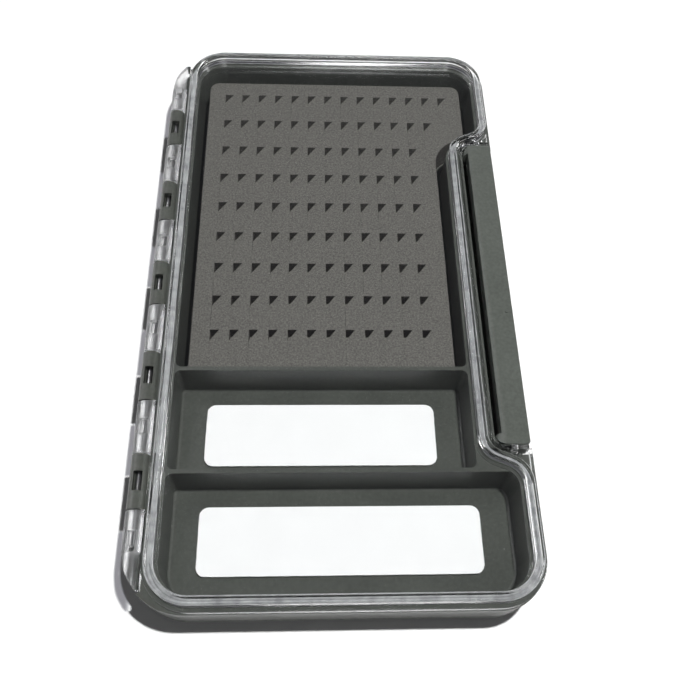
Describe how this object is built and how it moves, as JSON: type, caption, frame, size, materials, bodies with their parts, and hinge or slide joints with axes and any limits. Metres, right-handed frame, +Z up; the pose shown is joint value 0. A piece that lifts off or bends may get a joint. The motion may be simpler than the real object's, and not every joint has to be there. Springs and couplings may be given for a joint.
{
  "type": "fly box",
  "caption": "Slim waterproof fly box: a clear lid on a long pin hinge over a dark tray with a slit foam bay and open compartments, closed by a pivoting side latch.",
  "frame": {"origin": "middle of the box's footprint, on its underside", "axes": "+Z up through the lid, +Y along the hinge to the far, foam end, +X towards the latch side"},
  "size_m": [0.1086, 0.192, 0.02],
  "materials": {
    "tray_plastic": "fine moulded satin, dark grey-green",
    "latch_plastic": "fine moulded satin, grey-green",
    "clear_plastic": "clear, polished",
    "seal_rubber": "pale translucent silicone",
    "pin_steel": "ground",
    "foam": "fine closed-cell foam, warm grey",
    "sheet_white": "smooth, white",
    "adhesive_film": "translucent film"
  },
  "bodies": {
    "base": {"base_tray": "tray_plastic", "hinge_pin": "pin_steel", "slit_foam": "foam", "foam_adhesive": "adhesive_film", "magnet_sheet_middle": "sheet_white", "magnet_sheet_near": "sheet_white", "sheet_adhesive_middle": "adhesive_film", "sheet_adhesive_near": "adhesive_film"},
    "lid": {"lid_cover": "clear_plastic", "lid_seal": "seal_rubber", "latch_pin_far": "pin_steel", "latch_pin_near": "pin_steel"},
    "latch": {"latch_bar": "latch_plastic"}
  },
  "joints": [
    {"name": "lid_hinge", "type": "hinge", "parent": "base", "child": "lid", "pos_m": [-0.05185, 0, 0.0145], "axis": [0, -1, 0], "range_deg": [0, 180]},
    {"name": "latch_pivot", "type": "hinge", "parent": "lid", "child": "latch", "pos_m": [0.04915, 0, 0.0166], "axis": [0, -1, 0], "range_deg": [0, 95]}
  ]
}
